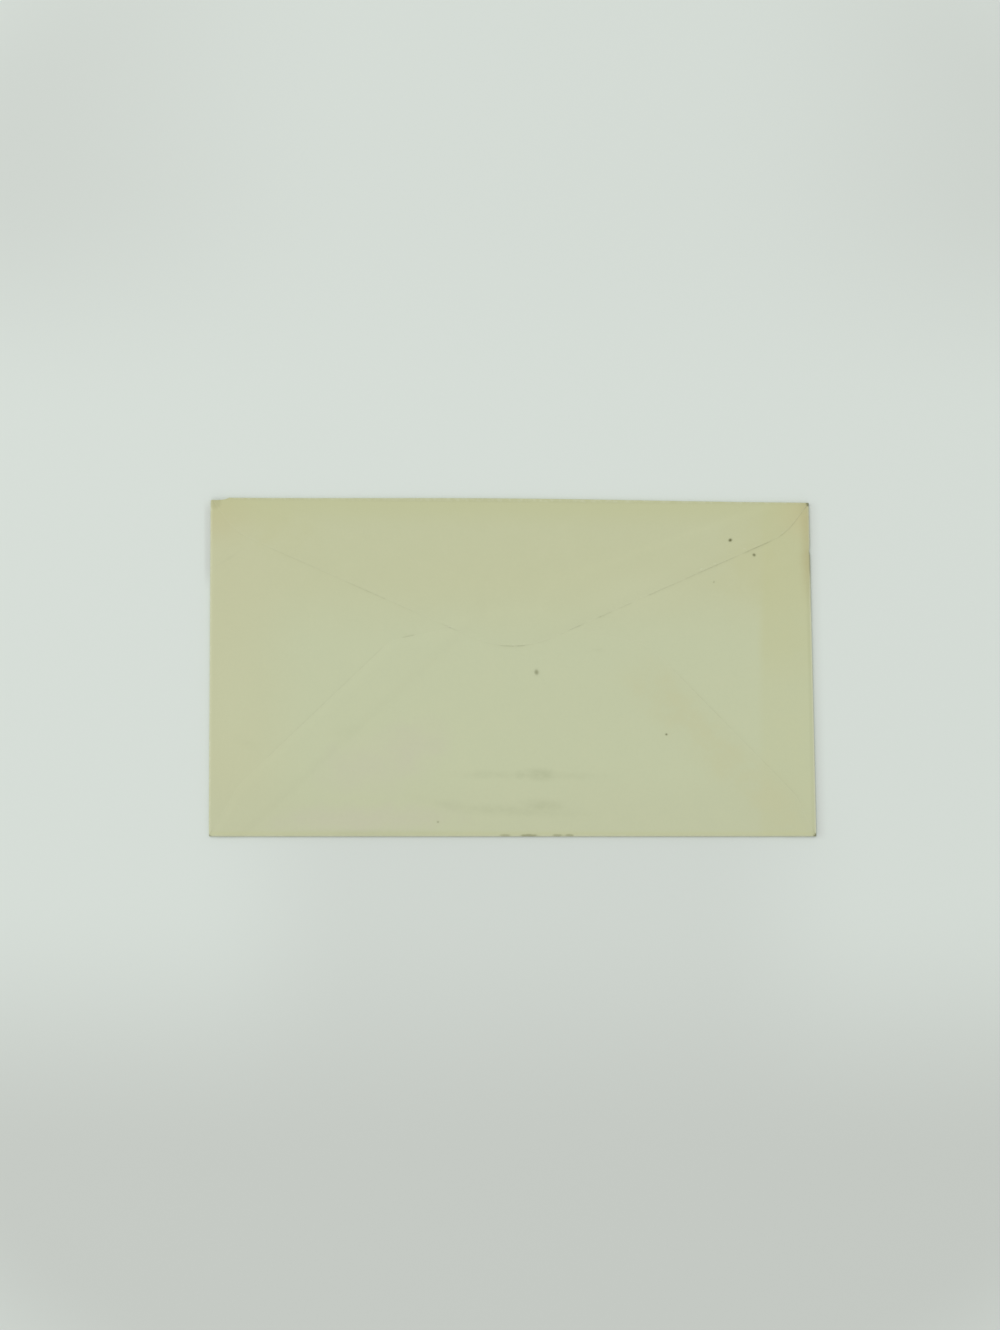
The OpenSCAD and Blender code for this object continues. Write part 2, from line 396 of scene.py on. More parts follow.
SEAM_STRETCHES = tuple(SeamStretch(*row) for row in (
    (63.89, 31.49, 69.08, 33.98, 0.85), (47.02, 23.6, 59.79, 29.59, 0.38),
    (41.93, 21.51, 47.02, 23.6, 0.4), (37.54, 19.81, 41.93, 21.51, 0.5),
    (29.75, 16.32, 31.35, 17.01, 0.5), (23.76, 13.52, 25.56, 14.32, 0.8),
    (72.87, 36.08, 77.76, 41.77, 0.55), (-44.12, 22.5, -34.63, 18.51, 0.3),
    (-31.44, 17.41, -27.35, 15.22, 0.2), (-65.08, 32.09, -48.81, 25.3, 0.12),
    (-74.06, 37.18, -70.47, 36.08, 0.3), (-2.39, 5.83, 3.1, 5.83, 1.0),
    (4.2, 6.13, 9.19, 7.53, 0.1), (-7.78, 6.93, -3.79, 6.13, 0.1), (-28.9, 8.25, -27.5, 8.5, 0.55),
    (-65.68, -24.01, -35.73, 4.44, 0.2), (44.12, -1.65, 79.06, -35.99, 0.2),
))


class PaperBlank:
    """The flat sheet before folding, as a grid that is fine at its edges and folds."""

    # Rows of cells round a fold.
    RING = 8
    # Distances of the rows beside a free edge and of the columns beside a corner, in mm.
    EDGE_ROWS = (0.0, 0.3, 0.8, 1.6, 2.8)
    END_COLUMNS = (0.0, 0.25, 0.6, 1.1, 1.8, 2.6, 3.5)
    # How far the corners' points, the sag's soft rim, lifted edges and the soil and painted shade
    # beside seams reach, in mm.
    CORNER_SPAN = 0.5
    SAG_RIM = 9.0
    LIFT_REACH = 1.3
    SOIL_AND_SHADE_REACH = 1.3
    # A distance that stands for a place not near at all, in mm.
    FAR = 50.0
    # Least depth of a flap, and the depth under which its edge rows draw together, in mm.
    LEAST_DEPTH = 0.15
    NARROW_DEPTH = 10.0

    def __init__(self, outlines: EnvelopeOutlines, step: float = 1.2) -> None:
        """Prepares an empty blank.

        Args:
            outlines: Outlines of the folded envelope.
            step: Width of a grid cell in millimetres.
        """
        self.outlines = outlines
        self.step = step
        self.flat: list[np.ndarray] = []
        self.faces: list[tuple[int, ...]] = []
        self.values: dict[str, list[np.ndarray]] = {
            name: []
            for name in ("outward_x", "outward_y", "corner_x", "corner_y", "fold_distance",
                         "long_fold", "free_edge", "over_side", "over_bottom", "uncovered",
                         "bulge", "lift", "soil_and_shade")
        }

    def _spacing(self, length: float) -> np.ndarray:
        """Places grid lines on a length, close together near both ends.

        Args:
            length: The length in millimetres.

        Returns:
            Shares of the length from 0 to 1.
        """
        ends = np.array(self.END_COLUMNS)
        count = max(2, round((length - 2 * ends[-1]) / self.step))
        middle = np.linspace(ends[-1], length - ends[-1], count + 1)[1:-1]
        return np.concatenate([ends, middle, (length - ends)[::-1]]) / length

    def _reach(self, root: np.ndarray, inward: np.ndarray, outline: np.ndarray) -> float:
        """Measures a flap's depth at one point of its fold.

        Args:
            root: Point on the line where the front passes into the fold.
            inward: Direction across the front.
            outline: Outline of the flap.

        Returns:
            Distance from the root to the flap's free edge.
        """
        best = self.LEAST_DEPTH
        across = left_of(inward)
        for a, b in zip(outline, np.roll(outline, -1, axis=0)):
            sa, sb = (a - root) @ across, (b - root) @ across
            if sa * sb > 0 or sa == sb:
                continue
            hit = a + (b - a) * sa / (sa - sb)
            best = max(best, float((hit - root) @ inward))
        return best

    def _add(self, flat: np.ndarray, folded: np.ndarray, side: Side | None, out: np.ndarray,
             distance: np.ndarray) -> int:
        """Adds vertices with what the node tree and the finish need to know of them.

        Args:
            flat: Places in the flat sheet.
            folded: Places seen from above once folded.
            side: The side whose flap they belong to, or None for the front.
            out: Outward direction of that side.
            distance: How far each lies past the line where the fold begins.

        Returns:
            Index of the first new vertex.
        """
        o, first = self.outlines, sum(len(block) for block in self.flat)
        count = len(flat)
        self.flat.append(flat)
        far = np.full(count, self.FAR)
        add = {name: np.zeros(count) for name in self.values}
        add["outward_x"] += out[0]
        add["outward_y"] += out[1]
        add["fold_distance"] += distance
        add["free_edge"] += far
        add["over_side"] += far
        add["over_bottom"] -= far
        add["uncovered"] += far
        if side is not None:
            add["long_fold"] += float(side in (Side.BOTTOM, Side.TOP))
            along = left_of(out)
            to_start = (folded - o.front[side.value]) @ along
            to_end = (o.front[(side.value + 1) % 4] - folded) @ along
            reach = np.exp(-to_end / self.CORNER_SPAN) - np.exp(-to_start / self.CORNER_SPAN)
            add["corner_x"] += np.clip(reach, -1, 1) * along[0]
            add["corner_y"] += np.clip(reach, -1, 1) * along[1]
            add["free_edge"] = distance_to_line(folded, o.flap(side))
            near = [
                distance_to_line(folded, np.array([o.front[i], o.front[(i + 1) % 4]]))
                for i in range(4)
            ]
            along, across = np.minimum(near[0], near[2]), np.minimum(near[1], near[3])
            rim = self.SAG_RIM
            add["bulge"] = (1 - np.exp(-along / rim)) * (1 - np.exp(-across / rim))
            sides = np.maximum(depth_inside(folded, o.left), depth_inside(folded, o.right))
            covers, lifts = [], ()
            if side in (Side.LEFT, Side.RIGHT):
                covers = [o.seal, o.bottom]
            else:
                add["over_side"] = sides
            if side is Side.BOTTOM:
                covers, lifts = [o.seal], BOTTOM_LIFTS
            if side is Side.TOP:
                add["over_bottom"] = depth_inside(folded, o.bottom)
                lifts = SEAL_LIFTS
            for cover in covers:
                add["uncovered"] = np.minimum(add["uncovered"], -depth_inside(folded, cover))
            for place in lifts:
                gap = np.linalg.norm(folded - (place.x, place.y), axis=1)
                add["lift"] += place.height * np.exp(-((gap / place.spread) ** 2))
            add["lift"] *= np.exp(-add["free_edge"] / self.LIFT_REACH)
            # Soil and painted shade beside the listed stretches of flap edges.
            for place in SEAM_STRETCHES:
                line = np.array([[place.x0, place.y0], [place.x1, place.y1]])
                gap = distance_to_line(folded, line)
                share = np.clip(self.SOIL_AND_SHADE_REACH - gap, 0, 1) * place.strength
                add["soil_and_shade"] = np.maximum(add["soil_and_shade"], share)
        for name, block in add.items():
            self.values[name].append(block)
        return first

    def build(self) -> Mesh:
        """Builds the flat sheet.

        Returns:
            A mesh in metres with one number attribute for each stored value.
        """
        o, s = self.outlines, self.outlines.sizes
        bl, br, tr, tl = o.front
        us, vs = self._spacing(s.length), self._spacing(s.height)
        nu, nv = len(us), len(vs)
        u, v = (g.ravel() for g in np.meshgrid(us, vs, indexing="ij"))
        u, v = u[:, None], v[:, None]
        panel = (1 - v) * ((1 - u) * bl + u * br) + v * ((1 - u) * tl + u * tr)
        self._add(panel, panel, None, np.zeros(2), np.zeros(len(panel)))
        index = np.arange(nu * nv).reshape(nu, nv)
        self._cells(index, np.ones(index.shape, bool))
        roots = {
            Side.BOTTOM: index[:, 0],
            Side.RIGHT: index[-1, :],
            Side.TOP: index[::-1, -1],
            Side.LEFT: index[0, ::-1],
        }
        for side, root in roots.items():
            self._flap(side, root, panel[root])
        mesh = bpy.data.meshes.new("paper_blank")
        flat = np.vstack(self.flat) * MM
        mesh.from_pydata([(x, y, s.paper / 2 * MM) for x, y in flat], [], self.faces)
        for name, blocks in self.values.items():
            layer = mesh.attributes.new(name, "FLOAT", "POINT")
            layer.data.foreach_set("value", np.concatenate(blocks).astype(np.float32))
        mesh.update()
        return mesh

    def _flap(self, side: Side, root: np.ndarray, places: np.ndarray) -> None:
        """Adds one fold with its flap.

        Args:
            side: The side of the front.
            root: Indices of the front's vertices on that side, against the clock.
            places: Their places.
        """
        o, s = self.outlines, self.outlines.sizes
        inward = left_of(unit(places[-1] - places[0]))
        bend = s.long_bend if side in (Side.BOTTOM, Side.TOP) else s.side_bend
        outline = o.flap(side)
        depths = np.array([self._reach(p, inward, outline) for p in places])
        edge = np.array(self.EDGE_ROWS)
        rows = max(3, round((depths.max() - edge[-1]) / self.step))
        distances, folded = [], []
        for k in range(1, self.RING + 1):
            turn = math.pi * k / self.RING
            distances.append(np.full(len(places), bend * turn))
            folded.append(places - inward * bend * math.sin(turn))
        shrink = np.minimum(1.0, depths / self.NARROW_DEPTH)
        deeps = [(depths - edge[-1] * shrink) * k / rows for k in range(1, rows + 1)]
        deeps += [depths - gap * shrink for gap in edge[-2::-1]]
        for deep in deeps:
            distances.append(math.pi * bend + deep)
            folded.append(places + inward * deep[:, None])
        across = np.array(distances)
        flat = places[None] - inward * across[:, :, None]
        first = self._add(flat.reshape(-1, 2), np.array(folded).reshape(-1, 2), side, -inward,
                          across.ravel())
        count = len(places)
        grid = np.vstack([root, first + np.arange(across.size).reshape(-1, count)])
        kept = np.ones(grid.shape, bool)
        if side is Side.TOP:
            # At the worn left end nothing is left of the paper round the fold.
            whole = o.outer[Side.LEFT.value][0] + s.worn_length - s.worn_runout / 2
            kept[:self.RING] = places[:, 0] >= whole
        self._cells(grid, kept)

    def _cells(self, grid: np.ndarray, kept: np.ndarray) -> None:
        """Adds the faces between the rows and columns of a grid of vertices.

        Args:
            grid: Indices of the vertices.
            kept: Whether the cell that begins at each vertex is there and not worn away.
        """
        for k, i in np.argwhere(kept[:-1, :-1]):
            self.faces.append((grid[k, i], grid[k, i + 1], grid[k + 1, i + 1], grid[k + 1, i]))


def placed(name: str, data: Any) -> Object:
    """Makes an object and puts it in the scene.

    Args:
        name: Name of the object.
        data: Its mesh, lamp or camera.

    Returns:
        The object.
    """
    made = bpy.data.objects.new(name, data)
    bpy.context.scene.collection.objects.link(made)
    return made


def bare_material(name: str) -> Material:
    """Makes a material whose node tree is empty.

    Args:
        name: Name of the material.

    Returns:
        The material.
    """
    material = bpy.data.materials.new(name)
    material.use_nodes = True
    material.node_tree.nodes.clear()
    return material


def srgb(red: float, green: float, blue: float) -> tuple[float, float, float, float]:
    """Turns an 8-bit screen colour into a linear one with full alpha.

    Args:
        red: Level of red from 0 to 255.
        green: Level of green.
        blue: Level of blue.

    Returns:
        The colour as Blender takes it.
    """
    def channel(value: float) -> float:
        """Turns one level into linear light."""
        share = value / 255
        return share / 12.92 if share <= 0.04045 else ((share + 0.055) / 1.055) ** 2.4

    return channel(red), channel(green), channel(blue), 1.0


class NodeGraph:
    """A node tree with one way to make nodes and one to join them."""

    def __init__(self, tree: NodeTree) -> None:
        """Starts on a tree.

        Args:
            tree: The tree that gets the nodes.
        """
        self.tree = tree

    def node(self, kind: str, settings: dict[str, Any] | None = None,
             inputs: dict[Any, Any] | None = None) -> Node:
        """Makes a node.

        Args:
            kind: The node's type.
            settings: Properties that are set first.
            inputs: Values or links of its sockets, by name or number.

        Returns:
            The new node.
        """
        node = self.tree.nodes.new(kind)
        for name, value in (settings or {}).items():
            setattr(node, name, value)
        for name, value in (inputs or {}).items():
            self.feed(node.inputs[name], value)
        return node

    def feed(self, socket: NodeSocket, value: Any) -> None:
        """Sets a socket to a value, or joins it to another node's output.

        Args:
            socket: The socket to feed.
            value: A plain value, a socket or a Signal.
        """
        if isinstance(value, Signal):
            value = value.socket
        if isinstance(value, NodeSocket):
            self.tree.links.new(value, socket)
        else:
            socket.default_value = value

    def signal(self, node: Node, output: Any = 0) -> "Signal":
        """Wraps a node's output so that it can be used in an expression."""
        return Signal(self, node.outputs[output])

    def mix(self, share: Any, under: Any, over: Any) -> NodeSocket:
        """Mixes two colours.

        Args:
            share: How much of the second colour shows.
            under: The first colour, a socket or three screen levels.
            over: The second colour, likewise.

        Returns:
            The mixed colour's socket.
        """
        levels = {6: under, 7: over}
        colours = {i: srgb(*v) if isinstance(v, tuple) else v for i, v in levels.items()}
        made = self.node("ShaderNodeMix", {"data_type": "RGBA"}, {0: share, **colours})
        return made.outputs[2]


class Signal:
    """A number in a node tree. An expression on it adds the Math nodes that it needs."""

    def __init__(self, graph: NodeGraph, socket: NodeSocket) -> None:
        """Wraps a socket.

        Args:
            graph: The graph that it is in.
            socket: An output that carries a number.
        """
        self.graph = graph
        self.socket = socket

    def _math(self, operation: str, *values: Any) -> "Signal":
        """Adds a Math node with the given operation and operands."""
        made = self.graph.node("ShaderNodeMath", {"operation": operation},
                               dict(enumerate(values)))
        return self.graph.signal(made)

    def __add__(self, other: Any) -> "Signal":
        """Returns the sum."""
        return self._math("ADD", self, other)

    __radd__ = __add__

    def __sub__(self, other: Any) -> "Signal":
        """Returns the difference."""
        return self._math("SUBTRACT", self, other)

    def __rsub__(self, other: Any) -> "Signal":
        """Returns the difference with this number taken off."""
        return self._math("SUBTRACT", other, self)

    def __mul__(self, other: Any) -> "Signal":
        """Returns the product."""
        return self._math("MULTIPLY", self, other)

    __rmul__ = __mul__

    def __truediv__(self, other: Any) -> "Signal":
        """Returns the quotient."""
        return self._math("DIVIDE", self, other)

    def __neg__(self) -> "Signal":
        """Returns the negative."""
        return self * -1.0

    def at_least(self, other: Any) -> "Signal":
        """Returns the larger of this number and another."""
        return self._math("MAXIMUM", self, other)

    def at_most(self, other: Any) -> "Signal":
        """Returns the smaller of this number and another."""
        return self._math("MINIMUM", self, other)

    def call(self, operation: str) -> "Signal":
        """Returns the result of a Math operation on this number alone."""
        return self._math(operation, self)

    def ease(self, low: Any, high: Any) -> "Signal":
        """Goes smoothly from 0 at one value to 1 at another.

        Args:
            low: Where the result is 0.
            high: Where the result is 1.

        Returns:
            A number from 0 to 1.
        """
        falling = not isinstance(low, Signal) and not isinstance(high, Signal) and low > high
        ends = (high, low) if falling else (low, high)
        made = self.graph.node(
            "ShaderNodeMapRange",
            {"interpolation_type": "SMOOTHSTEP"},
            {"Value": self, "From Min": ends[0], "From Max": ends[1]},
        )
        result = self.graph.signal(made)
        return 1.0 - result if falling else result


class FoldTree:
    """Geometry Nodes that fold the flat sheet and settle its layers on each other."""

    def __init__(self, sizes: EnvelopeSizes) -> None:
        """Keeps the sizes.

        Args:
            sizes: Sizes of the envelope.
        """
        self.sizes = sizes
        self.inputs: dict[str, float] = {
            "Side fold radius": sizes.side_bend,
            "Long fold radius": sizes.long_bend,
            "Layer height": sizes.paper + sizes.gum,
            "Layer slope length": 2.6,
            "Pocket sag": 0.26,
            "Ripple height": 0.22,
            "Edge lift": 0.3,
            "Edge press": EDGE_PRESS * (sizes.paper / 2 + sizes.gum),
            "Pressed width": PRESSED_WIDTH,
            "Highest middle": sizes.top - sizes.paper / 2,
            "Top fold bow": sizes.top_bow,
            "Corner reach": 0.9,
            "Ripple seed": 7.0,
        }

    def build(self, material: Material) -> NodeTree:
        """Builds the tree.

        Args:
            material: The finish of the paper.

        Returns:
            The tree, with named inputs for all its sizes.
        """
        tree = bpy.data.node_groups.new("fold_the_sheet", "GeometryNodeTree")
        tree.interface.new_socket(name="Sheet", in_out="INPUT", socket_type="NodeSocketGeometry")
        for name in self.inputs:
            tree.interface.new_socket(name=name, in_out="INPUT", socket_type="NodeSocketFloat")
        tree.interface.new_socket(name="Folded", in_out="OUTPUT", socket_type="NodeSocketGeometry")
        g = NodeGraph(tree)
        entry = g.node("NodeGroupInput")
        size = {name: g.signal(entry, name) for name in self.inputs}

        def stored(name: str) -> Signal:
            """Reads a number that the blank keeps for each vertex, lengths in millimetres."""
            kind = "GeometryNodeInputNamedAttribute"
            return g.signal(g.node(kind, {"data_type": "FLOAT"}, {"Name": name}), "Attribute")

        distance = stored("fold_distance")
        is_long = stored("long_fold")
        radius = (size["Side fold radius"] * (1.0 - is_long)
                  + size["Long fold radius"] * is_long)
        turn = (distance / radius).at_least(0.0).at_most(math.pi)
        past = (distance - radius * math.pi).at_least(0.0)
        out = radius * turn.call("SINE") - past - distance.at_least(0.0)
        rise = radius * (1.0 - turn.call("COSINE"))
        folded_in = rise / (radius * 2.0)

        place = g.node("ShaderNodeSeparateXYZ", None,
                       {0: g.node("GeometryNodeInputPosition").outputs[0]})
        corner = size["Corner reach"] * radius * turn.call("SINE")
        x, y = (
            g.signal(place, axis.upper()) * (1 / MM) + out * stored("outward_" + axis)
            + corner * stored("corner_" + axis)
            for axis in "xy"
        )
        z = g.signal(place, "Z") * (1 / MM) + rise
        # The top fold bows outwards between two points, and the upper third follows it.
        half_width = self.sizes.top_bow_half_width
        arch = (x * (math.pi / 2 / half_width)).call("COSINE")
        arch = arch * arch * x.ease(-half_width, 1.0 - half_width)
        arch = arch * x.ease(half_width, half_width - 1.0)
        y = y + size["Top fold bow"] * arch * y.ease(15.0, 44.0)

        # A layer climbs on the one under it along a slope that ends just outside that one's edge.
        slope, slope_end = -size["Layer slope length"], -0.15
        on_sides = stored("over_side").ease(slope, slope_end)
        on_bottom = stored("over_bottom").ease(slope, slope_end)
        layers = size["Layer height"] * (on_bottom + on_sides - 1.0)
        spot = g.node("ShaderNodeCombineXYZ", None, {"X": x, "Y": y})
        ripple = g.node(
            "ShaderNodeTexNoise",
            {"noise_dimensions": "4D"},
            {"Vector": spot.outputs[0], "W": size["Ripple seed"], "Scale": 0.028, "Detail": 1.6,
             "Roughness": 0.45},
        )
        wave = (g.signal(ripple) - 0.5) * size["Ripple height"]
        bulge = stored("bulge")
        settle = folded_in * (layers + bulge * (wave - size["Pocket sag"]))
        pressed = 1.0 - stored("free_edge").ease(0.0, size["Pressed width"])
        lifted = settle + stored("lift") * size["Edge lift"] - pressed * size["Edge press"]
        z = (z + lifted).at_most(size["Highest middle"])

        moved = g.node("ShaderNodeCombineXYZ", None, {"X": x * MM, "Y": y * MM, "Z": z * MM})
        shaped = g.node("GeometryNodeSetPosition", None,
                        {"Geometry": entry.outputs["Sheet"], "Position": moved.outputs[0]})
        real = g.node("GeometryNodeRealizeInstances", None, {0: shaped.outputs[0]})
        dressed = g.node("GeometryNodeSetMaterial", None,
                         {"Geometry": real.outputs[0], "Material": material})
        g.node("NodeGroupOutput", None, {0: dressed.outputs[0]})
        return tree

    def apply(self, blank: Object, material: Material) -> None:
        """Puts the tree on an object and sets its inputs.

        Args:
            blank: The object with the flat sheet.
            material: The finish of the paper.
        """
        tree = self.build(material)
        modifier = blank.modifiers.new("fold", "NODES")
        modifier.node_group = tree
        for socket in tree.interface.items_tree:
            if socket.in_out == "INPUT" and socket.name in self.inputs:
                modifier[socket.identifier] = self.inputs[socket.name]


@dataclass(frozen=True)
class Blot:
    """A soft elliptical mark in millimetres, its angle against the clock from +X."""

    x: float
    y: float
    half_length: float
    half_width: float
    angle: float
    strength: float


SPOTS = tuple(Blot(*row) for row in (
    (59.07, 34.45, 0.54, 0.46, 20, 0.95), (65.56, 30.45, 0.50, 0.44, -30, 0.75),
    (6.50, -1.40, 0.62, 0.80, 10, 0.52), (41.77, -18.31, 0.34, 0.32, 0, 0.75),
    (-20.27, -42.07, 0.34, 0.30, 0, 0.4), (54.66, 23.08, 0.30, 0.22, 60, 0.3),
))

SMUDGES = tuple(Blot(*row) for row in (
    (3.4, -29.4, 18.0, 1.0, -1, 0.17), (2.0, -29.3, 1.6, 1.0, 0, 0.42),
    (7.6, -29.2, 4.0, 1.5, -3, 0.42), (16.67, -29.6, 4.5, 1.0, 0, 0.16),
    (-8.0, -29.2, 5.0, 1.1, 0, 0.17), (-24.75, -35.59, 4.6, 1.1, -18, 0.04),
    (-16.27, -37.59, 5.0, 1.3, -8, 0.15), (-6.5, -38.78, 6.5, 1.4, -3, 0.2),
    (8.2, -37.85, 5.5, 1.7, -2, 0.3), (1.2, -38.98, 16.0, 1.4, -2, 0.2),
    (-45.41, -17.32, 4.0, 1.8, 10, 0.07), (-72.16, -20.82, 3.4, 1.2, -20, 0.07),
    (23.16, 4.64, 1.6, 0.5, 0, 0.12), (-77.26, 29.39, 3.2, 0.4, 33, 0.12),
    (-38.0, -45.2, 20.0, 1.1, 0, 0.16),
))

TINTS = tuple(Blot(*row) for row in (
    (-41.72, -41.5, 26.0, 4.5, 2, 0.75), (-39.5, -26.5, 15.0, 9.0, 12, 0.5),
    (-25.75, -21.0, 9.0, 8.0, 30, 0.5),
))

WARM_PATCHES = tuple(Blot(*row) for row in (
    (66.0, 29.0, 11.0, 15.0, 0, 0.5), (-66.0, 40.0, 14.0, 9.0, -20, 0.45),
))

PALE_PATCHES = tuple(Blot(*row) for row in (
    (33.2, 20.0, 15.0, 6.5, 10, 0.45), (-76.0, -10.0, 7.0, 20.0, 0, 0.4),
))

NICKS = tuple(Blot(*row) for row in (
    (-2.1, -45.7, 1.5, 0.4, 0, 0.35), (4.4, -45.75, 2.5, 0.45, 0, 0.5),
    (12.2, -45.7, 1.5, 0.4, 0, 0.4), (15.4, -45.7, 1.3, 0.4, 0, 0.4),
))

FLECKS = tuple(Blot(*row) for row in (
    (80.9, 32.2, 0.4, 0.16, 0, 0.9), (80.8, 31.45, 0.4, 0.16, 0, 0.9),
    (51.2, 26.65, 0.5, 0.16, 24, 0.5), (54.9, 28.1, 0.5, 0.14, 24, 0.4),
    (62.9, 32.2, 0.6, 0.16, -20, 0.35), (-17.3, 10.9, 1.3, 0.22, -8, 0.35),
))


class SheetGraph(NodeGraph):
    """A shader tree that knows the place on the sheet in millimetres."""

    def __init__(self, tree: NodeTree) -> None:
        """Starts on a tree and reads the Object coordinates.

        Args:
            tree: The tree that gets the nodes.
        """
        super().__init__(tree)
        place = self.node("ShaderNodeTexCoord").outputs["Object"]
        self.point = self.node("ShaderNodeVectorMath", {"operation": "SCALE"},
                               {0: place, "Scale": 1 / MM}).outputs[0]
        axes = self.node("ShaderNodeSeparateXYZ", None, {0: self.point})
        self.x, self.y, self.z = (self.signal(axes, axis) for axis in "XYZ")
        # 0 on the front, which lies below, and 1 on the flaps.
        self.top_side = self.z.ease(0.2, 0.35)
        self.colour: Triple | NodeSocket = (0, 0, 0)

    def wash(self, share: Any, tone: Triple) -> None:
        """Lays a tone over the sheet's colour so far."""
        self.colour = self.mix(share, self.colour, tone)

    def wash_top(self, share: Signal, tone: Triple) -> None:
        """Lays a tone over the flap side alone."""
        self.wash(share * self.top_side, tone)

    def stored(self, name: str) -> Signal:
        """Reads a number that the sheet keeps for each of its points."""
        return self.signal(self.node("ShaderNodeAttribute", {"attribute_name": name}), "Fac")

    def noise(self, scale: float, detail: float, seed: float = 0.0,
              stretch: Triple = (1.0, 1.0, 1.0)) -> Signal:
        """Adds a noise pattern.

        Args:
            scale: Waves for each millimetre.
            detail: Number of finer octaves.
            seed: Offset that picks another pattern.
            stretch: Scale for each axis, for a pattern that runs one way.

        Returns:
            A number around 0.5.
        """
        point = self.node("ShaderNodeVectorMath", {"operation": "MULTIPLY"},
                          {0: self.point, 1: stretch}).outputs[0]
        return self.signal(self.node(
            "ShaderNodeTexNoise",
            {"noise_dimensions": "4D"},
            {"Vector": point, "W": seed, "Scale": scale, "Detail": detail, "Roughness": 0.6},
        ))

    def distance(self, blot: Blot) -> Signal:
        """Measures the distance from a mark's middle in units of its own half sizes.

        Args:
            blot: The mark.

        Returns:
            0 in its middle and 1 on its rim.
        """
        c, s = math.cos(math.radians(blot.angle)), math.sin(math.radians(blot.angle))
        dx, dy = self.x - blot.x, self.y - blot.y
        along = (dx * c + dy * s) / blot.half_length
        across = (dy * c - dx * s) / blot.half_width
        return (along * along + across * across).call("SQRT")

    def from_point(self, x: float, y: float) -> Signal:
        """Measures the distance from a point of the sheet in millimetres."""
        dx, dy = self.x - float(x), self.y - float(y)
        return (dx * dx + dy * dy).call("SQRT")


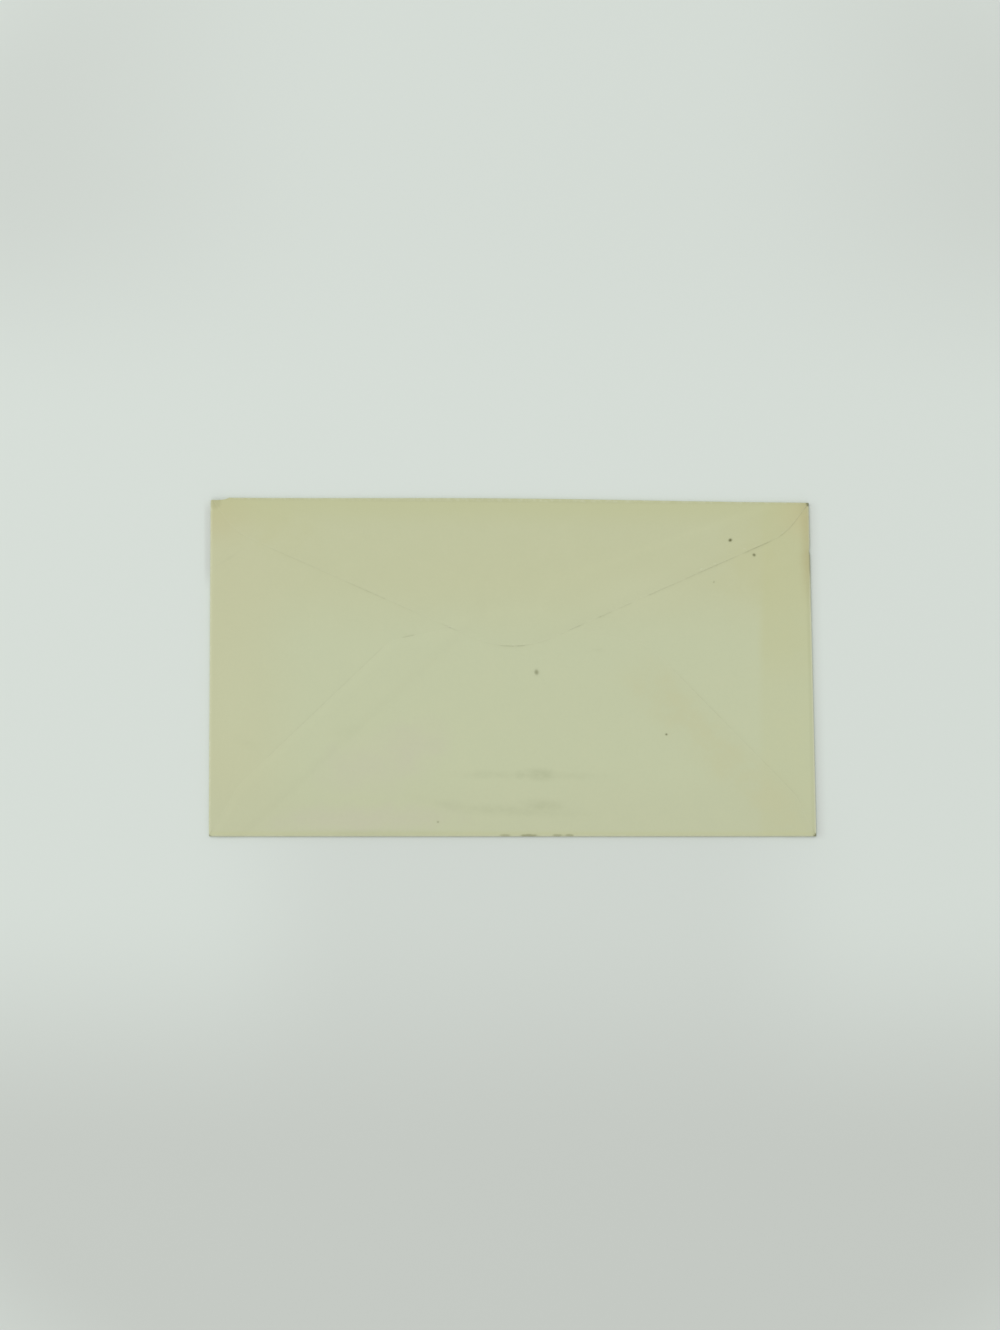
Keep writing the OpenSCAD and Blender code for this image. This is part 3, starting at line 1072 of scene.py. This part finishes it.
@dataclass(frozen=True)
class AgedPaper:
    """Finish of the toned, uncoated paper with its spots, smudges and soiled edges, and with light
    and shade painted along its folds, free edges, seams and corners.
    """

    middle: Triple = (193.5, 199.5, 165.5)
    upper: Triple = (193, 196, 159)
    rim: Triple = (190, 192.5, 149)
    left: Triple = (195, 196.5, 160)
    bottom: Triple = (190.5, 194.5, 162)
    strip: Triple = (191, 192.5, 147)
    corner: Triple = (190, 183, 137)
    right_corner: Triple = (195, 185, 140)
    tint: Triple = (194, 194, 168.5)
    gum: Triple = (192, 194, 156.5)
    warm: Triple = (192, 193, 150)
    pale: Triple = (197, 201, 166)
    worn_brown: Triple = (180, 176, 133)
    pale_edge_and_highlight: Triple = (206, 209, 180)
    spot: Triple = (100, 102, 66)
    smudge: Triple = (158, 164, 130)
    dust_and_shade: Triple = (112, 113, 78)
    speck: Triple = (178, 184, 150)
    cloud: Triple = (200, 203, 168)
    fibre: Triple = (207, 210, 178)
    fold_highlight: Triple = (207, 210, 180)

    # Half the square root of two, for a line that runs at 45 degrees.
    DIAGONAL: ClassVar[float] = 0.7071

    def build(self, outlines: EnvelopeOutlines) -> Material:
        """Builds the material.

        Args:
            outlines: Outlines of the envelope, for marks that follow its edges.

        Returns:
            The material, which reads Object coordinates and the sheet's attributes.
        """
        material = bare_material("aged_paper")
        g = SheetGraph(material.node_tree)
        self._tones(g)
        self._edges(g, outlines)
        self._marks(g)
        height = self._grain(g)
        bump = g.node("ShaderNodeBump", None,
                      {"Strength": 0.5, "Distance": 0.03 * MM, "Height": height})
        mottle = g.noise(0.35, 3.0)
        shader = g.node(
            "ShaderNodeBsdfPrincipled",
            None,
            {"Base Color": g.colour, "Roughness": 0.84 + 0.1 * mottle, "Normal": bump.outputs[0],
             "Specular IOR Level": 0.3},
        )
        g.node("ShaderNodeOutputMaterial", None, {"Surface": shader.outputs[0]})
        return material

    def _tones(self, g: SheetGraph) -> None:
        """Lays the slow changes of tone over the sheet.

        Args:
            g: The graph.
        """
        broad = (g.noise(0.035, 2.0, 3.0) - 0.5) * 26.0
        cloud = g.noise(0.16, 3.0, 11.0)
        wavy_x, wavy_y = g.x + broad * 0.25, g.y + broad * 0.4
        g.colour = self.middle
        g.wash(wavy_y.ease(4.0, 26.0) * 0.9, self.upper)
        g.wash(wavy_x.ease(-52.0, -80.0) * 0.8, self.left)
        g.wash(wavy_y.ease(-24.0, -44.0) * 0.6, self.bottom)
        for blots, tone in ((TINTS, self.tint), (WARM_PATCHES, self.warm),
                            (PALE_PATCHES, self.pale)):
            for blot in blots:
                far = g.distance(blot) + (cloud - 0.5) * 1.2
                g.wash(far.ease(1.3, 0.1) * blot.strength, tone)
        # The strip along the right side is darker, most of all above the middle.
        strip = (g.x + broad * 0.05).ease(66.0, 69.0) * (0.25 + cloud * 0.5)
        strip = strip * (0.45 + g.y.ease(-8.0, 8.0) * 0.55)
        g.wash_top(strip, self.strip)
        # Both upper corners are browner.
        for (x, y), reach, share, tone in (((80.4, 44.5), 13.0, 0.75, self.right_corner),
                                           ((-82.0, 46.0), 17.0, 0.55, self.corner)):
            g.wash(g.from_point(x, y).ease(reach, 1.0) * share, tone)
        # A warmer band follows the right seam.
        seam = ((g.x - 60.0) + (g.y + 27.0)) * self.DIAGONAL
        along = ((g.x - 60.0) - (g.y + 27.0)) * self.DIAGONAL
        patch = seam.ease(-9.0, -2.0) * seam.ease(9.0, 2.0) * along.ease(-44.0, -28.0)
        patch = patch * along.ease(30.0, 20.0) * (0.2 + cloud.ease(0.3, 0.65))
        g.wash(patch * g.top_side * 0.6, self.gum)
        # Fine specks, pale clouds and two layers of fibres that cross.
        speck = (g.noise(1.1, 4.0, 21.0) - 0.5).ease(-0.3, 0.3)
        g.wash(speck * 0.10, self.speck)
        g.wash(cloud.ease(0.35, 0.75) * 0.12, self.cloud)
        fibre = g.noise(1.0, 2.0, 31.0, (0.7, 4.5, 1.0)).ease(0.62, 0.74)
        cross = g.noise(1.0, 2.0, 41.0, (4.5, 0.8, 1.0)).ease(0.64, 0.76)
        g.wash((fibre + cross) * 0.10, self.fibre)

    def _edges(self, g: SheetGraph, outlines: EnvelopeOutlines) -> None:
        """Tones the folds, the corners and both sides of each free edge.

        Args:
            g: The graph.
            outlines: Outlines of the envelope.
        """
        # How far a point lies inside each side.
        bl, br, tr, tl = outlines.outer
        lean = (tr[0] - br[0]) / (tr[1] - br[1])
        left_lean = (tl[0] - bl[0]) / (tl[1] - bl[1])
        fall = (tr[1] - tl[1]) / (tr[0] - tl[0])
        right = (br[0] + lean * (g.y - br[1])) - g.x
        top = (tl[1] + fall * (g.x - tl[0])) - g.y
        left = g.x - (bl[0] + left_lean * (g.y - bl[1]))
        bottom = g.y - bl[1]
        fine = g.noise(0.9, 3.0, 51.0)
        patchy = g.noise(0.12, 2.0, 61.0)
        # Warmer rims along the top and bottom folds, and pale places on all four that are partly
        # rubbed wear and partly a painted highlight on the fold's rounding.
        g.wash(top.ease(9.0, 0.4) * 0.55, self.rim)
        g.wash(bottom.ease(2.0, 0.8) * 0.4, self.rim)
        nearest = left.at_most(right).at_most(bottom).at_most(top)
        worn = nearest.ease(0.75, 0.15) * fine.ease(0.42, 0.66)
        g.wash(worn * 0.45, self.pale_edge_and_highlight)
        # The upper part of the right fold is brown where it was knocked, and the rest dull.
        knocked = right.ease(3.6, 0.5) * g.y.ease(15.0, 27.0) * (0.35 + fine * 0.5)
        browned = right.ease(5.0, 1.0) * g.y.ease(25.0, 28.5) * g.y.ease(32.5, 30.5)
        knocked = knocked + browned * 0.15
        g.wash_top(knocked, self.worn_brown)
        dull = right.ease(1.6, 0.9) * g.y.ease(26.0, 21.0) * 0.13
        g.wash_top(dull, self.smudge)
        # A painted highlight lightens the side folds and the bottom fold, less so where the right
        # one is brown.
        pale = right.ease(0.55, 0.2) * (0.95 - g.y.ease(20.0, 26.0) * 0.5)
        pale = pale + left.ease(0.9, 0.2) * 0.2
        pale = pale + bottom.ease(0.6, 0.1) * 0.55
        g.wash_top(pale, self.fold_highlight)

        # Dark strokes on the folds: the fold, its width, where it shows and its strength.
        strokes = (
            (right, 0.55, g.y.ease(32.0, 31.2) * g.y.ease(24.0, 27.5), 0.45),
            (right, 0.5, g.y.ease(28.0, 26.0) * g.y.ease(13.0, 17.0), 0.15),
            (bottom, 0.45, patchy.ease(0.3, 0.6), 0.05),
            (top, 1.0, patchy.ease(0.2, 0.6) * 0.5 + 0.5, 0.10),
        )
        for gap, width, span, strength in strokes:
            g.wash_top(gap.ease(width, width * 0.35) * span * strength, self.dust_and_shade)
        # Painted shadow in the small gap at each of the four corners: the place, the size and the
        # strength.
        corners = (
            (tl + (1.2, -1.3), 2.4, 0.14),
            (tr - (0.1, 0.3), 1.0, 0.85),
            (br, 1.3, 0.8),
            (bl, 1.0, 0.5),
        )
        for corner, size, strength in corners:
            g.wash_top(g.from_point(*corner).ease(size, size * 0.4) * strength, self.dust_and_shade)

        # Dust and painted shadow in a broken line on the layer below a flap's edge, with a haze
        # and blotches beside it that are partly dust and partly painted shade.
        soil_and_shade = g.stored("soil_and_shade")
        broken = g.noise(0.75, 2.0, 71.0).ease(0.38, 0.56)
        uncovered = g.stored("uncovered")
        line = uncovered.ease(0.38, 0.12) * uncovered.ease(-0.4, -0.1)
        g.wash(line * soil_and_shade * (0.05 + broken * 0.22), self.dust_and_shade)
        haze = uncovered.ease(1.6, 0.0) * soil_and_shade
        g.wash(haze * 0.06, self.dust_and_shade)
        blotchy = g.noise(0.5, 2.0, 77.0).ease(0.42, 0.62)
        blotches_beside_seam = uncovered.ease(0.7, 0.1) * uncovered.ease(-1.3, -0.4) * soil_and_shade * (1.0 - soil_and_shade)
        g.wash(blotches_beside_seam * blotchy * 0.14, self.dust_and_shade)
        # A painted highlight runs along each cut edge, and the edges are frayed in pale spots
        # where they are soiled.
        free = g.stored("free_edge")
        edge_highlight = free.ease(0.22, 0.08)
        g.wash(edge_highlight * (0.22 - soil_and_shade * 0.1), self.pale_edge_and_highlight)
        torn = free.ease(0.6, 0.3) * g.noise(1.4, 1.0, 76.0).ease(0.60, 0.70)
        g.wash(torn * soil_and_shade * 0.5, self.pale_edge_and_highlight)

    def _marks(self, g: SheetGraph) -> None:
        """Adds the brown spots and the soft grey smudges on the flap side.

        Args:
            g: The graph.
        """
        ragged = (g.noise(1.6, 3.0, 81.0) - 0.5) * 0.9
        streaky = g.noise(0.55, 3.0, 91.0, (0.8, 1.3, 1.0)).ease(0.3, 0.66)
        # Where smudges overlap, only the strongest one shows.
        smudged = None
        for blot in SMUDGES:
            far = g.distance(blot) + ragged * 0.5
            mark = far.ease(1.7, 0.0) * blot.strength
            smudged = mark if smudged is None else smudged.at_least(mark)
        g.wash_top(smudged * (0.45 + streaky * 0.5), self.smudge)
        for blot in SPOTS:
            far = g.distance(blot) + ragged * 0.35
            mark = far.ease(1.4, 0.15) * blot.strength + far.ease(2.4, 0.8) * 0.04
            g.wash_top(mark, self.spot)
        for blots, roughness, core, tone in ((NICKS, 0.8, 0.5, self.dust_and_shade),
                                             (FLECKS, 0.4, 0.3, self.pale_edge_and_highlight)):
            for blot in blots:
                far = g.distance(blot) + ragged * roughness
                g.wash_top(far.ease(1.3, core) * blot.strength, tone)

    def _grain(self, g: SheetGraph) -> Signal:
        """Builds the paper's fine relief of felt marks and fibres.

        Args:
            g: The graph.

        Returns:
            The height of the relief.
        """
        felt = g.noise(1.3, 4.0, 101.0)
        fibre = g.noise(1.0, 2.0, 111.0, (1.2, 6.0, 1.0))
        cross = g.noise(1.0, 2.0, 121.0, (6.0, 1.4, 1.0))
        return felt * 0.6 + fibre * 0.3 + cross * 0.25


@dataclass
class PaperEnvelope:
    """The folded and sealed envelope, one sheet of paper."""

    sizes: EnvelopeSizes = field(default_factory=EnvelopeSizes)
    finish: AgedPaper = field(default_factory=AgedPaper)

    # How much of it still stands out where paper is filed back, and the steps of its thickness.
    FILED_SHARE: ClassVar[float] = 0.03
    THICKNESS_STEPS: ClassVar[int] = 40

    def build(self) -> Object:
        """Builds the sheet, folds it and hands it to the frame.

        Returns:
            The finished object.
        """
        outlines = EnvelopeOutlines(self.sizes)
        material = self.finish.build(outlines)
        blank = placed("blank", PaperBlank(outlines).build())
        FoldTree(self.sizes).apply(blank, material)
        solid = blank.modifiers.new("thickness", "SOLIDIFY")
        solid.thickness = self.sizes.paper * MM
        solid.offset = 0.0
        solid.vertex_group = self._thin_edges(blank)
        graph = bpy.context.evaluated_depsgraph_get()
        mesh = bpy.data.meshes.new_from_object(
            blank.evaluated_get(graph), preserve_all_data_layers=True, depsgraph=graph
        )
        bpy.data.objects.remove(blank)
        mesh.name = "envelope_paper"
        self._wear(mesh, outlines)
        mesh.shade_smooth()
        mesh.set_sharp_from_angle(angle=math.radians(SHARP_ANGLE))
        paper = placed("envelope_paper", mesh)
        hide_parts("envelope")
        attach(paper, "root")
        return paper

    def _thin_edges(self, blank: Object) -> str:
        """Stores how thick the sheet is, less where its free edges are pressed down.

        Args:
            blank: The object with the flat sheet.

        Returns:
            Name of the vertex group.
        """
        free = np.empty(len(blank.data.vertices), np.float32)
        blank.data.attributes["free_edge"].data.foreach_get("value", free)
        share = np.clip(free / PRESSED_WIDTH, 0, 1)
        weight = 1 - EDGE_PRESS * (1 - share * share * (3 - 2 * share))
        level = np.round(weight * self.THICKNESS_STEPS).astype(int)
        group = blank.vertex_groups.new(name="thickness")
        for value in np.unique(level):
            share = float(value) / self.THICKNESS_STEPS
            group.add(np.flatnonzero(level == value).tolist(), share, "REPLACE")
        return group.name

    def _wear(self, mesh: Mesh, outlines: EnvelopeOutlines) -> None:
        """Files the worn corner back and dents the right fold where it was knocked.

        Args:
            mesh: The folded sheet with its thickness.
            outlines: Outlines of the envelope.
        """
        s = self.sizes
        co = np.empty(len(mesh.vertices) * 3, np.float32)
        mesh.vertices.foreach_get("co", co)
        co = co.reshape(-1, 3) / MM
        br, tr, tl = outlines.outer[1:]
        to_whole = np.clip((tl[0] + s.worn_length - co[:, 0]) / s.worn_runout, 0, 1)
        floor = tl[1] - s.worn_depth * to_whole + s.fray * np.sin(co[:, 0] * s.frays_per_mm)
        worn = (to_whole > 0) & (co[:, 1] > floor)
        co[worn, 1] = floor[worn] + (co[worn, 1] - floor[worn]) * self.FILED_SHARE
        edge = br[0] + (tr[0] - br[0]) * (co[:, 1] - br[1]) / (tr[1] - br[1])
        dent = np.exp(-(((co[:, 1] - s.knock_y) / s.knock_half_width) ** 2))
        dent = dent * np.clip(1 - (edge - co[:, 0]) / s.knock_reach, 0, 1)
        co[:, 0] -= s.knock_depth * dent
        mesh.vertices.foreach_set("co", (co * MM).astype(np.float32).ravel())
        mesh.update()


@dataclass(frozen=True)
class StudioFloor:
    """The plain pale surface that the envelope lies on."""

    half_size: float = 6000.0
    gap: float = 0.02
    tone: Triple = (214, 221.5, 215)
    shaded_tone: Triple = (198, 203, 197)
    left_fold_x: float = -82.9
    right_fold_x: float = 81.5
    right_fold_lean: float = 0.0232

    def build(self) -> Object:
        """Builds the floor.

        Returns:
            The floor, marked as stage.
        """
        mesh = bpy.data.meshes.new("floor")
        h = self.half_size * MM
        mesh.from_pydata([(-h, -h, 0), (h, -h, 0), (h, h, 0), (-h, h, 0)], [], [(0, 1, 2, 3)])
        floor = placed("floor", mesh)
        floor.location.z = -self.gap * MM
        material = bare_material("pale_floor")
        g = NodeGraph(material.node_tree)
        place = g.node("ShaderNodeSeparateXYZ", None,
                       {0: g.node("ShaderNodeTexCoord").outputs["Object"]})
        x, y = (g.signal(place, axis) * (1 / MM) for axis in "XY")
        # Slow shades below the envelope and towards the upper corners, which fade out far away.
        aside = (x - 5.0).call("ABSOLUTE")
        low = (-y).ease(60.0, 135.0)
        under = (-y).ease(25.0, 48.0) * aside.ease(95.0, 45.0) * 0.4
        corners = y.ease(65.0, 135.0) * (aside.ease(45.0, 145.0) * 0.42 + 0.12)
        near = (x * x + y * y).call("SQRT").ease(260.0, 200.0)
        # Narrow soft shades beside the upper left fold and beside the right fold, which leans.
        fringe = (x - self.left_fold_x).call("ABSOLUTE").ease(1.5, 0.2) * y.ease(20.0, 28.0)
        fringe = fringe * y.ease(46.5, 41.5) * 0.65
        beside = (x + y * self.right_fold_lean - self.right_fold_x).call("ABSOLUTE")
        beside = beside.ease(3.4, 0.2) * beside.ease(0.2, 0.75)
        beside = beside * y.ease(-47.5, -45.0) * y.ease(46.0, 43.0)
        fringe = fringe + beside * (0.45 + y.ease(10.0, -30.0) * 0.2)
        shade = (low + (1.0 - low) * under + corners) * near + fringe
        tone = g.mix(shade, self.tone, self.shaded_tone)
        shader = g.node("ShaderNodeBsdfPrincipled", None,
                        {"Base Color": tone, "Roughness": 0.9})
        g.node("ShaderNodeOutputMaterial", None, {"Surface": shader.outputs[0]})
        mesh.materials.append(material)
        return floor


@dataclass(frozen=True)
class StudioLight:
    """Soft light from all round with a large lamp to one side."""

    sky: float = 0.75
    lamp_watts: float = 36.0
    lamp_size: float = 1800.0
    place: Triple = (-1700.0, 1350.0, 2400.0)

    def build(self) -> None:
        """Builds the lamp and the world."""
        world = bpy.data.worlds.new("studio")
        world.use_nodes = True
        background = world.node_tree.nodes["Background"]
        background.inputs["Color"].default_value = (1.0, 1.0, 1.0, 1.0)
        background.inputs["Strength"].default_value = self.sky
        bpy.context.scene.world = world
        lamp = bpy.data.lights.new("soft_lamp", "AREA")
        lamp.energy = self.lamp_watts
        lamp.size = self.lamp_size * MM
        holder = placed("soft_lamp", lamp)
        holder.location = Vector(self.place) * MM
        holder.rotation_mode = "QUATERNION"
        holder.rotation_quaternion = (-Vector(self.place)).to_track_quat("-Z", "Y")


@dataclass(frozen=True)
class PhotographCamera:
    """A camera straight above the envelope, with the photograph's framing."""

    pixels_per_mm: float = 3.6837
    middle_pixel: tuple[float, float] = (512.65, 667.05)
    picture: tuple[int, int] = (1000, 1330)
    lens: float = 50.0
    sensor: float = 36.0
    paper_height: float = 0.9
    clip: tuple[float, float] = (0.01, 10.0)

    def build(self) -> Object:
        """Builds the camera.

        Returns:
            The camera object, set as the scene's own.
        """
        data = bpy.data.cameras.new("camera")
        data.lens = self.lens
        data.sensor_width = self.sensor
        camera = placed("camera", data)
        focal = self.lens / self.sensor * max(self.picture)
        x = (self.picture[0] / 2 - self.middle_pixel[0]) / self.pixels_per_mm
        y = (self.middle_pixel[1] - self.picture[1] / 2) / self.pixels_per_mm
        z = focal / self.pixels_per_mm + self.paper_height
        camera.location = Vector((x, y, z)) * MM
        camera.rotation_euler = (0.0, 0.0, 0.0)
        data.clip_start, data.clip_end = self.clip
        bpy.context.scene.camera = camera
        return camera


def write_sizes() -> None:
    """Brings the scene up to date."""
    bpy.context.view_layer.update()


def main() -> None:
    """Builds the envelope, its floor, the light and the camera."""
    logging.basicConfig(level=logging.INFO, format="%(message)s")
    bpy.context.scene.view_settings.view_transform = "Standard"
    camera = PhotographCamera().build()
    LOG.info("camera at %.1f mm", camera.location.z / MM)
    paper = PaperEnvelope().build()
    LOG.info("envelope: %d vertices, %d faces", len(paper.data.vertices),
             len(paper.data.polygons))
    StudioFloor().build()
    StudioLight().build()
    LOG.info("floor and light ready")
    write_sizes()


if __name__ == "__main__":
    main()
